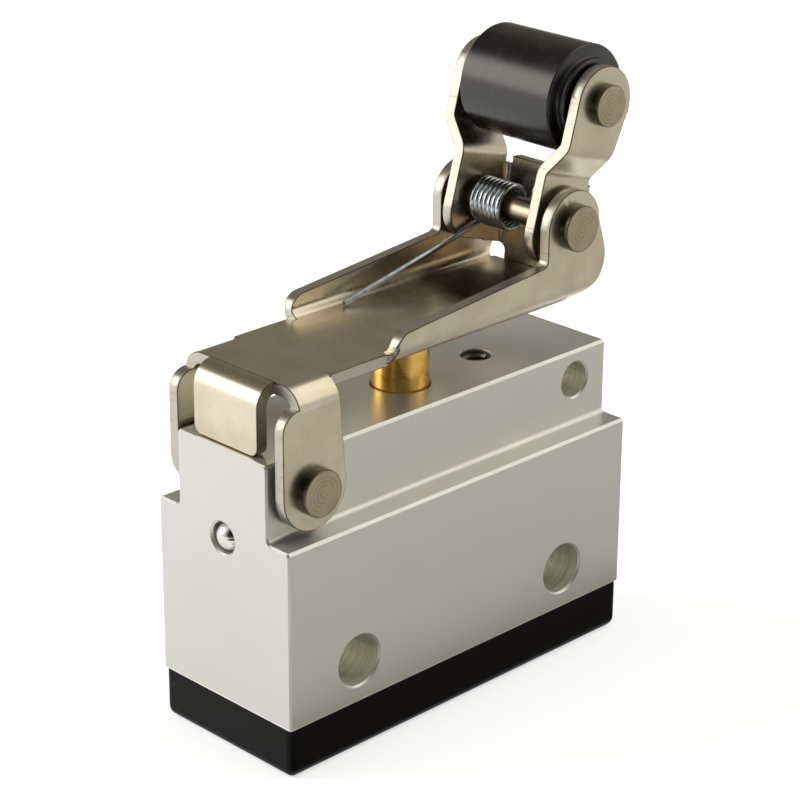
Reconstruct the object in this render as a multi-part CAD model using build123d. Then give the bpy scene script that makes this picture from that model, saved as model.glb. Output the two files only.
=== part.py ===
from build123d import *
import math
import os

# One-way roller lever valve. Millimetres, +X along the body away from the lever's pivot end,
# +Z up, origin at the middle of the underside.

# Body: a black base under an aluminium block with a narrower neck
BODY_LENGTH = 38.0
BODY_WIDTH = 15.0
BASE_HEIGHT = 4.4
BLOCK_HEIGHT = 15.0
NECK_HEIGHT = 6.4
NECK_INSET = 2.4
PROFILE_CHAMFER = 0.22
END_CHAMFER = 0.15
NECK_ROOT_FILLET = 0.5
BASE_EDGE_FILLET = 0.9
BASE_CORNER_FILLET = 0.6
BASE_INSET = 0.05

# Mounting holes, through the block from front to back
MOUNT_SPACING = 23.4
MOUNT_RISE = 3.5
MOUNT_HOLE_RADIUS = 2.15
HOLE_CHAMFER = 0.15

# Tapped holes and the plugged passage
TOP_HOLE_RADIUS = 1.25
TOP_HOLE_DEPTH = 5.0
TOP_HOLE_X = 8.7
TOP_HOLE_CHAMFER = 0.12
PORT_RADIUS = 2.1
PORT_DEPTH = 5.5
PORT_CHAMFER = 0.35
PORT_BREAK_IN = 0.6
PORT_WALL = 1.2
OUTLET_RISE = 2.0
DRILLING_RADIUS = 1.3
CHANNEL_RADIUS = 0.8
CHANNEL_DROP = 1.15
BALL_HOLE_RADIUS = 1.3
BALL_HOLE_DEPTH = 4.0
BALL_RECESS = 0.1

# Valve bores
CHAMBER_RADIUS = 3.3
SEAT_BORE_RADIUS = 4.5
CHAMBER_RISE = 0.1
SEAT_RISE = 7.0
SEAT_THICKNESS = 2.8
SEAT_HOLE_RADIUS = 2.0
SEAT_LIP_WIDTH = 0.5
SEAT_LIP_HEIGHT = 0.3
GUIDE_CLEARANCE = 0.05
RING_SECTION = 0.5
WIPER_SECTION = 0.45
WIPER_DEPTH = 1.8

# Gaps between pieces that are pressed or laid together
PRESS_GAP = 0.01
LAID_GAP = 0.02

# Plunger
PLUNGER_RADIUS = 2.35
PLUNGER_GAP = 0.03
DOME_HEIGHT = 0.5
COLLAR_GAP = 0.2
WAIST_LENGTH = 1.3
WAIST_RADIUS = 1.9
LAND_THICKNESS = 1.8
STEM_RADIUS = 1.5
STEM_BORE_RADIUS = 0.75
CROSS_HOLE_RADIUS = 0.45
EXHAUST_GAP = 0.5

# Poppet
DISC_RADIUS = 3.1
DISC_THICKNESS = 1.0
CUP_WALL = 0.4
CUP_DEPTH = 0.7
CUP_FLOOR = 0.5

# Springs inside the valve
RETURN_WIRE = 0.5
RETURN_TURNS = 4.0
POPPET_WIRE = 0.35
POPPET_TURNS = 3.0

# Inside of the base
GASKET_LENGTH = 24.0
GASKET_WIDTH = 10.6
GASKET_THICKNESS = 0.8
WELL_RADIUS = 2.6
WELL_DEPTH = 1.4
SCREW_INSET_X = 2.9
SCREW_INSET_Y = 2.6
SCREW_RADIUS = 1.0
SCREW_LENGTH = 6.0
SCREW_HEAD_RADIUS = 1.9
SCREW_HEAD_HEIGHT = 1.3
SCREW_HEAD_SINK = 0.3
SCREW_CLEARANCE = 0.1
SCREW_SOCKET_RADIUS = 0.75
SCREW_SOCKET_DEPTH = 0.7

# Sheet metal of the lever and the yoke
SHEET = 1.0
BEND_INSIDE = 0.9
PIN_CLEARANCE = 0.03

# Lever
PIVOT_INSET = 3.7
PIVOT_DROP = 2.6
NECK_SIDE_GAP = 0.4
LEVER_PIN_RADIUS = 1.5
EAR_RADIUS = 3.2
EAR_TOP_DROP = 1.5
EAR_TOP_FILLET = 1.6
EAR_NECK_LEFT = 1.5
EAR_NECK_RIGHT = 2.6
PLATE_LIFT = 4.8
PLATE_INSET = 1.0
TAB_INSET = 1.9
TAB_GAP = 0.06
TAB_FILLET = 0.8
WING_START = 8.6
WING_FRONT_HEIGHT = 1.6
WING_REAR_HEIGHT = 3.1
WING_FILLET = 1.5
NOSE_SWEEP = 0.45
WING_ROOT_FILLET = 0.6
LEVER_REACH = 28.4
YOKE_PIN_RISE = 5.8
REAR_EAR_RADIUS = 3.0
REAR_FOOT_FLARE = 1.95
REAR_FOOT_DROP = 0.35
REAR_FOOT_FILLET = 3.0
PLATE_END = 2.55

# Yoke
YOKE_PIN_RADIUS = 1.1
YOKE_SIDE_GAP = 0.45
YOKE_SPREAD = 1.8
ARM_LENGTH = 10.0
ARM_LEAN = 15.9
ARM_FRONT = 3.1
ARM_TOP_RADIUS = 3.1
ARM_BACK = 2.4
ARM_FOOT = 3.5
ARM_FOOT_FILLET = 2.6
JOGGLE_START = 3.75
JOGGLE_RISE = 2.2
JOGGLE_FILLET = 0.7
WEB_LEAN = 5.0
WEB_GAP = 0.03
WEB_TOP = 3.0
WEB_BEND = 0.5
STOP_INSET = 1.4
STOP_DROP = 0.3
STOP_FILLET = 0.8

# Pins and roller
PIN_HEAD_RADIUS = 1.9
PIN_HEAD_HEIGHT = 0.9
HEAD_CHAMFER = 0.15
AXLE_RADIUS = 1.25
AXLE_HEAD_RADIUS = 1.7
AXLE_HEAD_HEIGHT = 0.75
ROLLER_RADIUS = 4.5
ROLLER_FILLET = 0.25
HUB_RADIUS = 3.4
HUB_HEIGHT = 0.7
HUB_GAP = 0.35

# Torsion spring on the yoke's pin
TORSION_WIRE = 0.5
TORSION_RADIUS = 1.78
TORSION_PITCH = 0.53
TORSION_FULL_TURNS = 6
TORSION_SIDE_GAP = 0.4
LONG_LEG_REACH = 15.1
LONG_LEG_SPREAD = 1.1
SHORT_LEG_LENGTH = 3.3
SHORT_LEG_LEAN = 25.0
BEND_SWELL = 0.01

# Levels, from the sizes above
SHOULDER_Z = BASE_HEIGHT + BLOCK_HEIGHT
NECK_TOP_Z = SHOULDER_Z + NECK_HEIGHT
MOUNT_Z = BASE_HEIGHT + MOUNT_RISE
CHAMBER_TOP_Z = SHOULDER_Z + CHAMBER_RISE
SEAT_TOP_Z = BASE_HEIGHT + SEAT_RISE
SEAT_BOTTOM_Z = SEAT_TOP_Z - SEAT_THICKNESS
LIP_Z = SEAT_BOTTOM_Z - SEAT_LIP_HEIGHT
WIPER_Z = NECK_TOP_Z - WIPER_DEPTH
COLLAR_Z = CHAMBER_TOP_Z - COLLAR_GAP
LAND_TOP_Z = COLLAR_Z - WAIST_LENGTH
LAND_BOTTOM_Z = LAND_TOP_Z - LAND_THICKNESS
DISC_TOP_Z = LIP_Z - LAID_GAP
DISC_BOTTOM_Z = DISC_TOP_Z - DISC_THICKNESS
CUP_BOTTOM_Z = DISC_BOTTOM_Z - CUP_FLOOR
WELL_FLOOR_Z = BASE_HEIGHT - WELL_DEPTH
CHANNEL_Z = SHOULDER_Z - CHANNEL_DROP
EXHAUST_Z = CHANNEL_Z - CHANNEL_RADIUS - PORT_RADIUS + PORT_BREAK_IN
SUPPLY_Z = SEAT_BOTTOM_Z - DRILLING_RADIUS
OUTLET_Z = SEAT_TOP_Z + OUTLET_RISE
SCREW_SEAT_Z = SCREW_HEAD_SINK + SCREW_HEAD_HEIGHT
SCREW_TIP_Z = SCREW_SEAT_Z + SCREW_LENGTH
PLATE_UNDER_Z = NECK_TOP_Z + PLATE_LIFT
PLATE_TOP_Z = PLATE_UNDER_Z + SHEET
PLUNGER_TOP_Z = PLATE_UNDER_Z - PLUNGER_GAP

# Places along the body and across it, from the sizes above
SUPPLY_X = SEAT_BORE_RADIUS + PORT_RADIUS - PORT_BREAK_IN
EXHAUST_X = -(CHAMBER_RADIUS + PORT_WALL + PORT_RADIUS)
PIVOT_X = PIVOT_INSET - BODY_LENGTH / 2
PIVOT_Z = NECK_TOP_Z - PIVOT_DROP
YOKE_X = PIVOT_X + LEVER_REACH
YOKE_Z = PLATE_TOP_Z + YOKE_PIN_RISE
AXLE_X = YOKE_X + ARM_LENGTH * math.sin(math.radians(ARM_LEAN))
AXLE_Z = YOKE_Z + ARM_LENGTH * math.cos(math.radians(ARM_LEAN))
NECK_SIDE = BODY_WIDTH / 2 - NECK_INSET
LEVER_INNER = NECK_SIDE + NECK_SIDE_GAP
LEVER_OUTER = LEVER_INNER + SHEET
YOKE_OUTER = LEVER_INNER - YOKE_SIDE_GAP
YOKE_INNER = YOKE_OUTER - SHEET
ARM_OUTER = YOKE_OUTER + YOKE_SPREAD
ARM_INNER = ARM_OUTER - SHEET
TAB_X = PIVOT_X - EAR_RADIUS
EAR_NECK_X = PIVOT_X - EAR_NECK_LEFT
EAR_END_X = PIVOT_X + EAR_NECK_RIGHT
WING_X = PIVOT_X + WING_START
PLATE_END_X = YOKE_X + PLATE_END
BEND_OUTSIDE = BEND_INSIDE + SHEET

# How far a cutting tool runs past the piece it cuts
BEYOND = 1.0


def rounded(corners):
    """Makes a face from corners given as (across, up, corner radius)."""
    points = [(across, up) for across, up, radius in corners]
    radii = [radius for across, up, radius in corners]
    return make_face(FilletPolyline(*points, radius=radii, close=True))


def side_plate(outline, low_y, high_y):
    """Gives an outline drawn in X and Z a thickness from low_y to high_y."""
    return extrude(Plane.XZ.offset(-high_y) * outline, amount=high_y - low_y)


def end_plate(outline, low_x, high_x):
    """Gives an outline drawn in Y and Z a thickness from low_x to high_x."""
    return extrude(Plane.YZ.offset(low_x) * outline, amount=high_x - low_x)


def cross_rod(x, z, radius, low_y, high_y):
    """A round rod along Y."""
    return side_plate(Pos(x, z) * Circle(radius), low_y, high_y)


def through_rod(x, z, radius):
    """A round rod along Y that passes right through the part."""
    return cross_rod(x, z, radius, -BODY_WIDTH, BODY_WIDTH)


def upright(x, y, radius, low_z, high_z):
    """A round rod along Z."""
    height = high_z - low_z
    return Pos(x, y, low_z) * Cylinder(radius, height, align=(Align.CENTER, Align.CENTER, Align.MIN))


def tube(outer, inner, low_z, high_z):
    """A round tube on the valve's axis."""
    return upright(0, 0, outer, low_z, high_z) - upright(0, 0, inner, low_z - BEYOND, high_z + BEYOND)


def mouth(radius, chamfer_width):
    """The cone that a countersink takes away, with its wide end up at the origin."""
    top = (Align.CENTER, Align.CENTER, Align.MAX)
    return Cone(radius, radius + chamfer_width, chamfer_width, align=top)


def both_mouths(x, z, radius, face_y):
    """The countersinks of a through hole along Y, on the faces at -face_y and +face_y."""
    cone = mouth(radius, HOLE_CHAMFER)
    return [Pos(x, -face_y, z) * Rot(90, 0, 0) * cone, Pos(x, face_y, z) * Rot(-90, 0, 0) * cone]


def fuse(pieces):
    """Joins a list of solids into one shape."""
    joined = pieces[0]
    for piece in pieces[1:]:
        joined += piece
    return joined


def both_sides(piece):
    """A piece joined with its mirror image across the body's middle plane."""
    return piece + mirror(piece, about=Plane.XZ)


def ring_groove(outer, inner, middle_z, section):
    """The room that a rubber ring of the given section radius has in its groove."""
    half = section + LAID_GAP
    return tube(outer, inner, middle_z - half, middle_z + half)


def coil(radius, wire, turns, low_z, high_z):
    """A compression spring on the valve's axis that just clears the levels given."""
    height = high_z - low_z - wire - 2 * LAID_GAP
    path = Helix(height / turns, height, radius, center=(0, 0, low_z + wire / 2 + LAID_GAP))
    section = Plane(origin=path @ 0, z_dir=path % 0) * Circle(wire / 2)
    return sweep(section, path)


def wire_run(start, end, wire):
    """A straight run of round wire from a bend."""
    span = Vector(*end) - Vector(*start)
    low = (Align.CENTER, Align.CENTER, Align.MIN)
    run = Plane(origin=start, z_dir=span) * Cylinder(wire / 2, span.length, align=low)
    return run + Pos(*start) * Sphere(wire / 2 + BEND_SWELL)


def block_outline():
    """The block and its neck seen from the end, in Y and Z."""
    side = BODY_WIDTH / 2
    cut = PROFILE_CHAMFER
    right = [
        (side, BASE_HEIGHT, 0), (side, SHOULDER_Z - cut, 0), (side - cut, SHOULDER_Z, 0),
        (NECK_SIDE, SHOULDER_Z, NECK_ROOT_FILLET), (NECK_SIDE, NECK_TOP_Z - cut, 0),
        (NECK_SIDE - cut, NECK_TOP_Z, 0),
    ]
    left = [(-across, up, radius) for across, up, radius in reversed(right)]
    return rounded(right + left)


def port_cuts():
    """The tapped ports, and the drillings that join them to the valve's chambers."""
    back = BODY_WIDTH / 2
    end = BODY_LENGTH / 2
    to_right = Pos(end, 0, OUTLET_Z) * Rot(0, 90, 0)
    to_left = Pos(-end, 0, CHANNEL_Z) * Rot(0, -90, 0)
    cuts = [
        cross_rod(SUPPLY_X, SUPPLY_Z, PORT_RADIUS, -DRILLING_RADIUS, back + BEYOND),
        cross_rod(EXHAUST_X, EXHAUST_Z, PORT_RADIUS, -CHANNEL_RADIUS, back + BEYOND),
        to_right * upright(0, 0, PORT_RADIUS, -PORT_DEPTH, BEYOND),
        to_right * upright(0, 0, DRILLING_RADIUS, -end, 0),
        to_right * mouth(PORT_RADIUS, PORT_CHAMFER),
        to_left * upright(0, 0, CHANNEL_RADIUS, -end, 0),
        to_left * upright(0, 0, BALL_HOLE_RADIUS, -BALL_HOLE_DEPTH, BEYOND),
        to_left * mouth(BALL_HOLE_RADIUS, HOLE_CHAMFER),
    ]
    for x, z in ((SUPPLY_X, SUPPLY_Z), (EXHAUST_X, EXHAUST_Z)):
        cuts.append(Pos(x, back, z) * Rot(-90, 0, 0) * mouth(PORT_RADIUS, PORT_CHAMFER))
    return cuts


def valve_bores():
    """The stepped bore of the valve, with the wiper's groove near its top."""
    guide = PLUNGER_RADIUS + GUIDE_CLEARANCE
    groove = PLUNGER_RADIUS + 2 * (WIPER_SECTION + LAID_GAP)
    return [
        upright(0, 0, guide, CHAMBER_TOP_Z - BEYOND, NECK_TOP_Z + BEYOND),
        Pos(0, 0, NECK_TOP_Z) * mouth(guide, HOLE_CHAMFER),
        upright(0, 0, CHAMBER_RADIUS, SEAT_TOP_Z - BEYOND, CHAMBER_TOP_Z),
        upright(0, 0, SEAT_BORE_RADIUS, BASE_HEIGHT - BEYOND, SEAT_TOP_Z),
        ring_groove(groove, guide - BEYOND, WIPER_Z, WIPER_SECTION),
    ]


def make_valve_body():
    """The aluminium block, with every hole in it."""
    block = end_plate(block_outline(), -BODY_LENGTH / 2, BODY_LENGTH / 2)
    ends = block.faces().filter_by(Axis.X).edges()
    rims = [edge for edge in ends if max((edge @ 0).Z, (edge @ 1).Z) > SHOULDER_Z - BLOCK_HEIGHT / 2]
    block = chamfer(rims, END_CHAMFER)
    cuts = port_cuts() + valve_bores()
    for x in (-MOUNT_SPACING / 2, MOUNT_SPACING / 2):
        cuts.append(through_rod(x, MOUNT_Z, MOUNT_HOLE_RADIUS))
        cuts += both_mouths(x, MOUNT_Z, MOUNT_HOLE_RADIUS, BODY_WIDTH / 2)
    for x in (PIVOT_X, -PIVOT_X):
        pivot_radius = LEVER_PIN_RADIUS + PIN_CLEARANCE
        cuts.append(through_rod(x, PIVOT_Z, pivot_radius))
        cuts += both_mouths(x, PIVOT_Z, pivot_radius, NECK_SIDE)
    for x, y in screw_places():
        cuts.append(upright(x, y, SCREW_RADIUS, BASE_HEIGHT - BEYOND, SCREW_TIP_Z + SCREW_CLEARANCE))
    cuts.append(upright(TOP_HOLE_X, 0, TOP_HOLE_RADIUS, NECK_TOP_Z - TOP_HOLE_DEPTH, NECK_TOP_Z + BEYOND))
    cuts.append(Pos(TOP_HOLE_X, 0, NECK_TOP_Z) * mouth(TOP_HOLE_RADIUS, TOP_HOLE_CHAMFER))
    for cut in cuts:
        block -= cut
    return block


def make_passage_ball():
    """The ball pressed into the mouth of the channel in the left end."""
    radius = BALL_HOLE_RADIUS - PRESS_GAP
    return Pos(-BODY_LENGTH / 2 + BALL_RECESS + radius, 0, CHANNEL_Z) * Sphere(radius)


def screw_places():
    """The places of the four base screws, as X and Y."""
    x = BODY_LENGTH / 2 - SCREW_INSET_X
    y = BODY_WIDTH / 2 - SCREW_INSET_Y
    return [(x_side * x, y_side * y) for x_side in (-1, 1) for y_side in (-1, 1)]


def make_base_cover():
    """The moulded base, with the gasket's recess, the spring's well and the screws' counterbores."""
    length = BODY_LENGTH - 2 * BASE_INSET
    width = BODY_WIDTH - 2 * BASE_INSET
    base = extrude(Rectangle(length, width), amount=BASE_HEIGHT)
    base = fillet(base.edges().group_by(Axis.Z)[0], BASE_EDGE_FILLET)
    base = fillet(base.edges().filter_by(Axis.Z), BASE_CORNER_FILLET)
    recess_z = BASE_HEIGHT - GASKET_THICKNESS
    base -= Pos(0, 0, recess_z) * extrude(Rectangle(GASKET_LENGTH, GASKET_WIDTH), amount=GASKET_THICKNESS)
    base -= upright(0, 0, WELL_RADIUS, WELL_FLOOR_Z, BASE_HEIGHT)
    for x, y in screw_places():
        base -= upright(x, y, SCREW_RADIUS + SCREW_CLEARANCE, 0, BASE_HEIGHT)
        base -= upright(x, y, SCREW_HEAD_RADIUS + SCREW_CLEARANCE, 0, SCREW_SEAT_Z)
    return base


def make_base_gasket():
    """The rubber pad, open over the valve's bore."""
    outline = Rectangle(GASKET_LENGTH - 2 * LAID_GAP, GASKET_WIDTH - 2 * LAID_GAP) - Circle(SEAT_BORE_RADIUS)
    return Pos(0, 0, BASE_HEIGHT - GASKET_THICKNESS) * extrude(outline, amount=GASKET_THICKNESS)


def make_base_screws():
    """Four socket screws, heads down."""
    screws = []
    for x, y in screw_places():
        screw = upright(x, y, SCREW_HEAD_RADIUS, SCREW_HEAD_SINK, SCREW_SEAT_Z)
        screw += upright(x, y, SCREW_RADIUS - PRESS_GAP, SCREW_SEAT_Z, SCREW_TIP_Z)
        socket = extrude(RegularPolygon(SCREW_SOCKET_RADIUS, 6), amount=SCREW_SOCKET_DEPTH)
        screws.append(screw - Pos(x, y, SCREW_HEAD_SINK) * socket)
    return Compound(screws)


def make_seat_insert():
    """The seat insert, with a ring groove outside and the seat's lip below."""
    outer = SEAT_BORE_RADIUS - LAID_GAP
    insert = tube(outer, SEAT_HOLE_RADIUS, SEAT_BOTTOM_Z, SEAT_TOP_Z)
    insert += tube(SEAT_HOLE_RADIUS + SEAT_LIP_WIDTH, SEAT_HOLE_RADIUS, LIP_Z, SEAT_BOTTOM_Z)
    groove = SEAT_BORE_RADIUS - 2 * (RING_SECTION + LAID_GAP)
    return insert - ring_groove(outer + BEYOND, groove, (SEAT_TOP_Z + SEAT_BOTTOM_Z) / 2, RING_SECTION)


def make_seat_ring():
    """The rubber ring in the seat insert's groove."""
    middle_z = (SEAT_TOP_Z + SEAT_BOTTOM_Z) / 2
    return Pos(0, 0, middle_z) * Torus(SEAT_BORE_RADIUS - RING_SECTION - LAID_GAP, RING_SECTION)


def make_wiper_ring():
    """The rubber ring in the neck, round the plunger."""
    return Pos(0, 0, WIPER_Z) * Torus(PLUNGER_RADIUS + WIPER_SECTION + LAID_GAP, WIPER_SECTION)


def make_plunger():
    """The brass plunger: domed head, waist, piston land and hollow stem with its cross hole."""
    nose_z = LIP_Z + EXHAUST_GAP
    dome_radius = (PLUNGER_RADIUS ** 2 + DOME_HEIGHT ** 2) / (2 * DOME_HEIGHT)
    dome = Pos(0, 0, PLUNGER_TOP_Z - dome_radius) * Sphere(dome_radius)
    shaft_top_z = PLUNGER_TOP_Z - DOME_HEIGHT
    head = upright(0, 0, PLUNGER_RADIUS, shaft_top_z, PLUNGER_TOP_Z) & dome
    land_radius = CHAMBER_RADIUS - GUIDE_CLEARANCE
    body = fuse([
        head,
        upright(0, 0, PLUNGER_RADIUS, COLLAR_Z, shaft_top_z),
        upright(0, 0, WAIST_RADIUS, LAND_TOP_Z, COLLAR_Z),
        upright(0, 0, land_radius, LAND_BOTTOM_Z, LAND_TOP_Z),
        upright(0, 0, STEM_RADIUS, nose_z, LAND_BOTTOM_Z),
    ])
    groove = CHAMBER_RADIUS - 2 * (RING_SECTION + LAID_GAP)
    body -= ring_groove(land_radius + BEYOND, groove, (LAND_TOP_Z + LAND_BOTTOM_Z) / 2, RING_SECTION)
    cross_z = (LAND_TOP_Z + COLLAR_Z) / 2
    body -= upright(0, 0, STEM_BORE_RADIUS, nose_z - BEYOND, cross_z)
    return body - cross_rod(0, cross_z, CROSS_HOLE_RADIUS, -PLUNGER_RADIUS, PLUNGER_RADIUS)


def make_land_ring():
    """The rubber ring on the plunger's land."""
    middle_z = (LAND_TOP_Z + LAND_BOTTOM_Z) / 2
    return Pos(0, 0, middle_z) * Torus(CHAMBER_RADIUS - RING_SECTION - LAID_GAP, RING_SECTION)


def make_return_spring():
    """The spring between the seat insert and the plunger's land."""
    return coil((STEM_RADIUS + CHAMBER_RADIUS) / 2, RETURN_WIRE, RETURN_TURNS, SEAT_TOP_Z, LAND_BOTTOM_Z)


def make_poppet():
    """The poppet's brass cup."""
    cup = upright(0, 0, DISC_RADIUS + LAID_GAP + CUP_WALL, CUP_BOTTOM_Z, DISC_BOTTOM_Z + CUP_DEPTH)
    return cup - upright(0, 0, DISC_RADIUS + LAID_GAP, DISC_BOTTOM_Z, DISC_TOP_Z)


def make_poppet_disc():
    """The poppet's rubber face."""
    return upright(0, 0, DISC_RADIUS, DISC_BOTTOM_Z, DISC_TOP_Z)


def make_poppet_spring():
    """The spring between the base's well and the poppet."""
    return coil(WELL_RADIUS - POPPET_WIRE, POPPET_WIRE, POPPET_TURNS, WELL_FLOOR_Z, CUP_BOTTOM_Z)


def channel(rim_z, low_x, high_x):
    """Folded sheet along X: the lever's plate with both sides bent up or down to the level given."""
    up = rim_z > PLATE_TOP_Z
    outer_z = PLATE_UNDER_Z if up else PLATE_TOP_Z
    inner_z = PLATE_TOP_Z if up else PLATE_UNDER_Z
    right = [(LEVER_INNER, rim_z, 0), (LEVER_OUTER, rim_z, 0), (LEVER_OUTER, outer_z, BEND_OUTSIDE)]
    left = [(-across, level, radius) for across, level, radius in reversed(right)]
    inside = [(-LEVER_INNER, inner_z, BEND_INSIDE), (LEVER_INNER, inner_z, BEND_INSIDE)]
    return end_plate(rounded(right + left + inside), low_x, high_x)


def flat_sheet(half_width, low_x, high_x):
    """A flat run of the lever's plate."""
    section = rounded([
        (-half_width, PLATE_UNDER_Z, 0), (half_width, PLATE_UNDER_Z, 0),
        (half_width, PLATE_TOP_Z, 0), (-half_width, PLATE_TOP_Z, 0),
    ])
    return end_plate(section, low_x, high_x)


def lever_ears():
    """The two front ears on the lever's pivot, and the plate between them."""
    ears = channel(PIVOT_Z - EAR_RADIUS - BEYOND, TAB_X, PIVOT_X + EAR_RADIUS)
    ear_top_z = PLATE_TOP_Z - EAR_TOP_DROP
    above_z = PLATE_TOP_Z + BEYOND
    outline = rounded([
        (TAB_X, PIVOT_Z, 0), (PIVOT_X + EAR_RADIUS, PIVOT_Z, 0), (EAR_END_X, ear_top_z, 0),
        (EAR_END_X, above_z, 0), (EAR_NECK_X, above_z, 0), (EAR_NECK_X, ear_top_z, 0),
        (TAB_X, ear_top_z, EAR_TOP_FILLET),
    ])
    outline += Pos(PIVOT_X, PIVOT_Z) * Circle(EAR_RADIUS)
    return ears & side_plate(outline, -BODY_WIDTH, BODY_WIDTH)


def lever_front():
    """The front tab, bent down to stop on the neck, and the flat plate between ears and wings."""
    tab_z = NECK_TOP_Z + TAB_GAP
    half = LEVER_INNER - TAB_INSET
    fold_end = EAR_NECK_X + BEND_OUTSIDE
    fold = rounded([
        (TAB_X, tab_z, 0), (TAB_X, PLATE_TOP_Z, BEND_OUTSIDE), (fold_end, PLATE_TOP_Z, 0),
        (fold_end, PLATE_UNDER_Z, 0), (TAB_X + SHEET, PLATE_UNDER_Z, BEND_INSIDE), (TAB_X + SHEET, tab_z, 0),
    ])
    front = rounded([
        (-half, tab_z, TAB_FILLET), (half, tab_z, TAB_FILLET),
        (half, PLATE_TOP_Z, 0), (-half, PLATE_TOP_Z, 0),
    ])
    tab = side_plate(fold, -half, half) & end_plate(front, TAB_X, fold_end)
    return tab + flat_sheet(LEVER_OUTER - PLATE_INSET, EAR_END_X, WING_X)


def wing_plan(low_x, high_x):
    """What the wings may fill seen from above: their fronts sweep in to the edges of the flat plate."""
    flat_half = LEVER_OUTER - PLATE_INSET
    right = [
        (low_x, flat_half, 0), (WING_X, flat_half, NOSE_SWEEP), (WING_X, LEVER_OUTER, NOSE_SWEEP),
        (high_x, LEVER_OUTER, 0),
    ]
    left = [(along, -across, radius) for along, across, radius in reversed(right)]
    return extrude(Pos(0, 0, PLATE_UNDER_Z) * rounded(right + left), amount=LEVER_REACH)


def lever_wings():
    """The side wings, the rear ears on the yoke's pin and the plate between them."""
    front_x = WING_X - NOSE_SWEEP
    ear_left = YOKE_X - REAR_EAR_RADIUS
    ear_right = YOKE_X + REAR_EAR_RADIUS
    foot_x = ear_right + REAR_FOOT_FLARE
    foot_z = PLATE_TOP_Z - REAR_FOOT_DROP
    below_z = PLATE_UNDER_Z - BEYOND
    outline = rounded([
        (front_x, below_z, 0), (front_x, PLATE_TOP_Z, 0), (WING_X, PLATE_TOP_Z, 0),
        (WING_X, PLATE_TOP_Z + WING_FRONT_HEIGHT, WING_FILLET),
        (ear_left, PLATE_TOP_Z + WING_REAR_HEIGHT, WING_ROOT_FILLET), (ear_left, YOKE_Z, 0),
        (ear_right, YOKE_Z, 0), (foot_x, foot_z, REAR_FOOT_FILLET), (YOKE_X, foot_z, 0), (YOKE_X, below_z, 0),
    ])
    outline += Pos(YOKE_X, YOKE_Z) * Circle(REAR_EAR_RADIUS)
    wings = channel(YOKE_Z + REAR_EAR_RADIUS + BEYOND, front_x, foot_x)
    wings = wings & side_plate(outline, -BODY_WIDTH, BODY_WIDTH) & wing_plan(EAR_END_X, foot_x)
    return wings + flat_sheet(LEVER_INNER - BEND_INSIDE, WING_X, PLATE_END_X)


def make_lever():
    """The pressed lever."""
    lever = lever_ears() + lever_front() + lever_wings()
    lever -= through_rod(PIVOT_X, PIVOT_Z, LEVER_PIN_RADIUS + PRESS_GAP)
    return lever - through_rod(YOKE_X, YOKE_Z, YOKE_PIN_RADIUS + PRESS_GAP)


def headed_pin(x, z, radius, seat_y, head_radius, head_height):
    """A pin along Y with a flat head outside each of its two seats."""
    head = cross_rod(x, z, head_radius, -seat_y - head_height, -seat_y)
    head = chamfer(head.edges().group_by(Axis.Y)[0], HEAD_CHAMFER)
    return cross_rod(x, z, radius, -seat_y, seat_y) + both_sides(head)


def make_lever_pin():
    """The lever's pivot pin."""
    return headed_pin(PIVOT_X, PIVOT_Z, LEVER_PIN_RADIUS, LEVER_OUTER, PIN_HEAD_RADIUS, PIN_HEAD_HEIGHT)


def make_yoke_pin():
    """The yoke's pivot pin."""
    return headed_pin(YOKE_X, YOKE_Z, YOKE_PIN_RADIUS, LEVER_OUTER, PIN_HEAD_RADIUS, PIN_HEAD_HEIGHT)


def make_roller_axle():
    """The roller's axle."""
    return headed_pin(AXLE_X, AXLE_Z, AXLE_RADIUS, ARM_OUTER, AXLE_HEAD_RADIUS, AXLE_HEAD_HEIGHT)


def make_roller():
    """The roller, with a low hub on each side."""
    hub_y = ARM_INNER - HUB_GAP
    face_y = hub_y - HUB_HEIGHT
    tread = cross_rod(AXLE_X, AXLE_Z, ROLLER_RADIUS, -face_y, face_y)
    tread = fillet(tread.edges().filter_by(GeomType.CIRCLE), ROLLER_FILLET)
    roller = tread + cross_rod(AXLE_X, AXLE_Z, HUB_RADIUS, -hub_y, hub_y)
    return roller - through_rod(AXLE_X, AXLE_Z, AXLE_RADIUS + PIN_CLEARANCE)


def in_yoke(piece):
    """Puts a piece drawn with the yoke's pin at the origin and the arms upright into its place."""
    return Pos(YOKE_X, 0, YOKE_Z) * Rot(0, ARM_LEAN, 0) * piece


def yoke_arms():
    """Both arms, joggled outwards above the pin, with the pin at the origin and the arms upright."""
    half_slope = math.atan2(YOKE_SPREAD, JOGGLE_RISE) / 2
    shift = SHEET * math.tan(half_slope)
    top = ARM_LENGTH + ARM_TOP_RADIUS + BEYOND
    joggle_end = JOGGLE_START + JOGGLE_RISE
    outside = JOGGLE_FILLET + SHEET
    band = rounded([
        (YOKE_INNER, -ARM_FOOT, 0), (YOKE_OUTER, -ARM_FOOT, 0), (YOKE_OUTER, JOGGLE_START, JOGGLE_FILLET),
        (ARM_OUTER, joggle_end, outside), (ARM_OUTER, top, 0), (ARM_INNER, top, 0),
        (ARM_INNER, joggle_end + shift, JOGGLE_FILLET), (YOKE_INNER, JOGGLE_START + shift, outside),
    ])
    profile = rounded([
        (-ARM_FRONT, ARM_LENGTH, 0), (-ARM_FRONT, -ARM_FOOT, ARM_FOOT_FILLET), (ARM_BACK, -ARM_FOOT, 0),
        (ARM_BACK, joggle_end, 0), (ARM_TOP_RADIUS, ARM_LENGTH, 0),
    ])
    profile += Pos(0, ARM_LENGTH) * Circle(ARM_TOP_RADIUS)
    return both_sides(end_plate(band, -ARM_LENGTH, ARM_LENGTH) & side_plate(profile, 0, BODY_WIDTH))


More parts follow.
